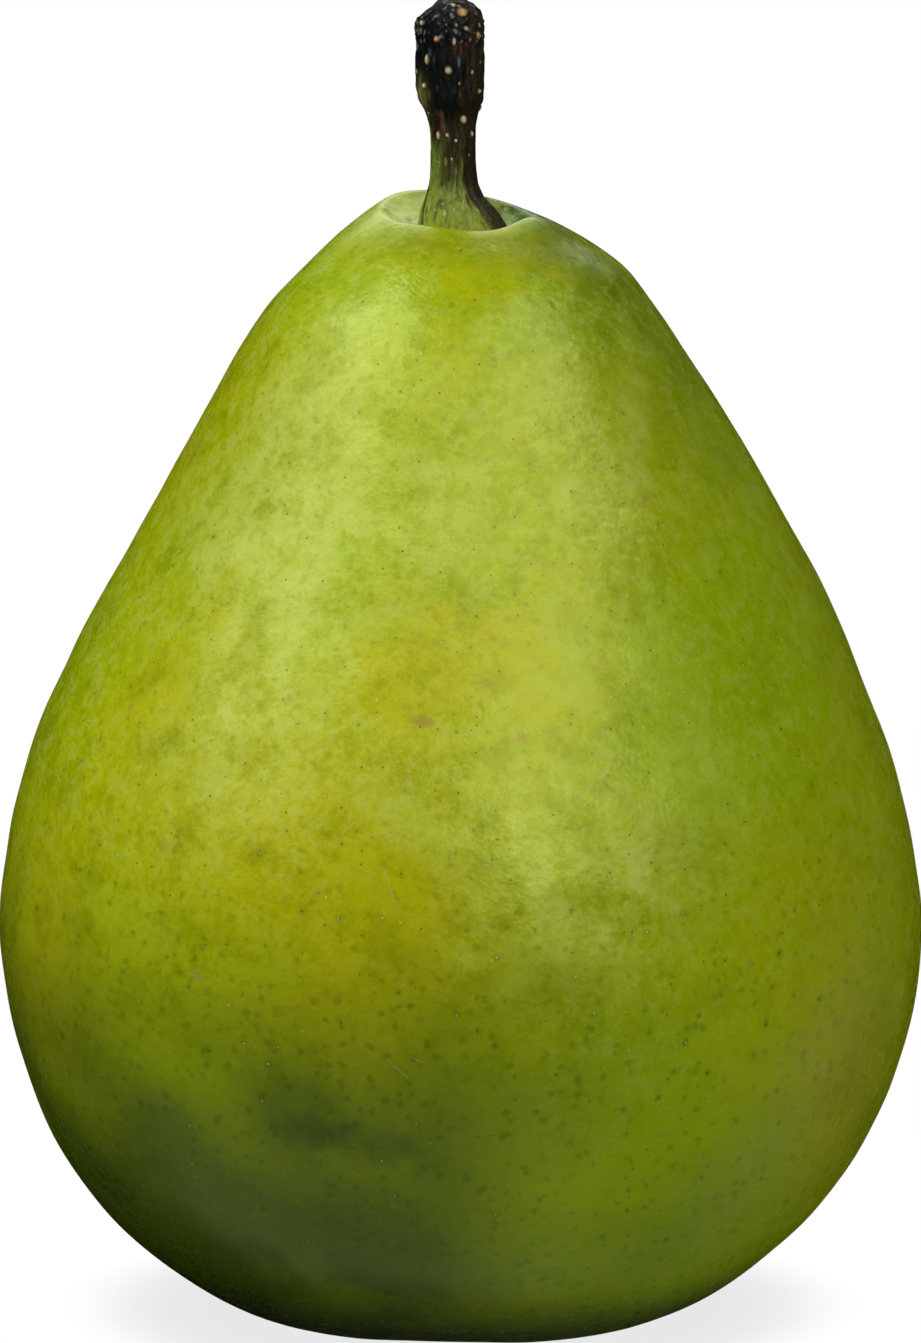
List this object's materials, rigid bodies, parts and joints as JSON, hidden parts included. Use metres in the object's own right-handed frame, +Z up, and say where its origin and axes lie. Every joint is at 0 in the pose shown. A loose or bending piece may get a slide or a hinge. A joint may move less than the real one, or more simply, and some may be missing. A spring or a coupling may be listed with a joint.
{
  "type": "pear",
  "caption": "Whole green winter pear with a woody stem and a dried calyx, standing on the small flat feet under its ribs.",
  "frame": {"origin": "under the middle of the fruit, on the plane that its feet rest on", "axes": "+Z up from the calyx to the stem; -Y is the side that faces forward; +X to the right of it"},
  "size_m": [0.0804, 0.0776, 0.1149],
  "materials": {
    "green_skin": "waxy satin fruit skin, olive green with mottling and small brown lenticels",
    "stem_bark": "fissured dark bark with pale raised lenticels, green towards the fruit",
    "dry_calyx": "dry, papery, dark brown"
  },
  "bodies": {
    "root": {"pear_body": "green_skin", "stem": "stem_bark", "calyx": "dry_calyx"}
  },
  "joints": []
}
